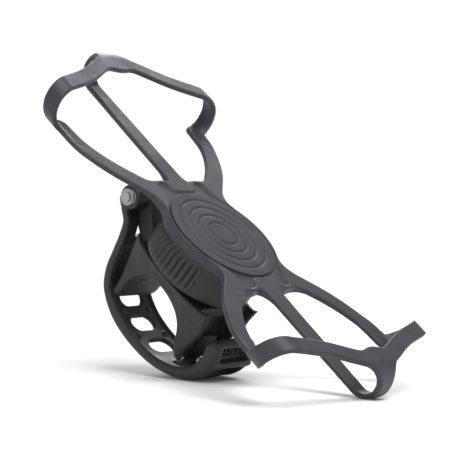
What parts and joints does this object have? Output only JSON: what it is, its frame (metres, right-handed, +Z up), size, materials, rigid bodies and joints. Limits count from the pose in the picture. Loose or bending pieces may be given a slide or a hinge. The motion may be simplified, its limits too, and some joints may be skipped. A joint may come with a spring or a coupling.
{
  "type": "phone handlebar mount",
  "caption": "Elastic phone holder: a stretchy harness for the phone's corners swivels on a rubber saddle, which a slotted hook-on strap holds round a handlebar.",
  "frame": {"origin": "centre of the saddle's seat for the handlebar, on the bar's axis, midway along the saddle", "axes": "+X along the handlebar, +Z up, +Y away from the rider; the phone's face leans back 40 degrees from level and faces the rider, who is on the -Y side"},
  "size_m": [0.079, 0.1199, 0.1031],
  "materials": {
    "harness_silicone": "soft matte silicone with a faint blue-grey sheen",
    "saddle_rubber": "matte moulded elastomer, fine spark-eroded grain",
    "strap_rubber": "matte moulded elastomer with smooth rolled edges",
    "pad_rubber": "tacky matte silicone with fine grooves",
    "seal_rubber": "matte",
    "turntable_plastic": "fine moulded grain, ribbed grip",
    "nylon": "glass-filled nylon, dull",
    "acetal": "smooth",
    "steel": "zinc-plated, satin",
    "spring_steel": "blued, satin",
    "aluminium": "satin",
    "bronze": "sintered, dull",
    "brass": "turned"
  },
  "bodies": {
    "saddle": {"saddle_sleeve": "saddle_rubber", "saddle_core": "nylon", "base_plate": "steel", "base_screws": "steel", "pivot_insert": "brass", "thrust_washer": "acetal", "dust_ring": "seal_rubber", "pivot_screw": "steel", "flat_washer": "steel", "wave_washer": "spring_steel", "anchor_pin": "steel", "pin_clips": "spring_steel", "strap_hook": "steel", "hook_rivets": "steel"},
    "turntable": {"turntable": "turntable_plastic", "turntable_bush": "bronze", "harness": "harness_silicone", "harness_plate": "aluminium", "harness_screws": "steel", "phone_pad": "pad_rubber"},
    "strap": {"strap": "strap_rubber", "strap_bushes": "acetal"}
  },
  "joints": [
    {"name": "harness_swivel", "type": "hinge", "parent": "saddle", "child": "turntable", "pos_m": [0, 0, 0], "axis": [0, -0.6428, 0.766], "continuous": true},
    {"name": "strap_swing", "type": "hinge", "parent": "saddle", "child": "strap", "pos_m": [0, 0.00702, 0.038], "axis": [1, 0, 0], "range_deg": [0, 75]}
  ]
}
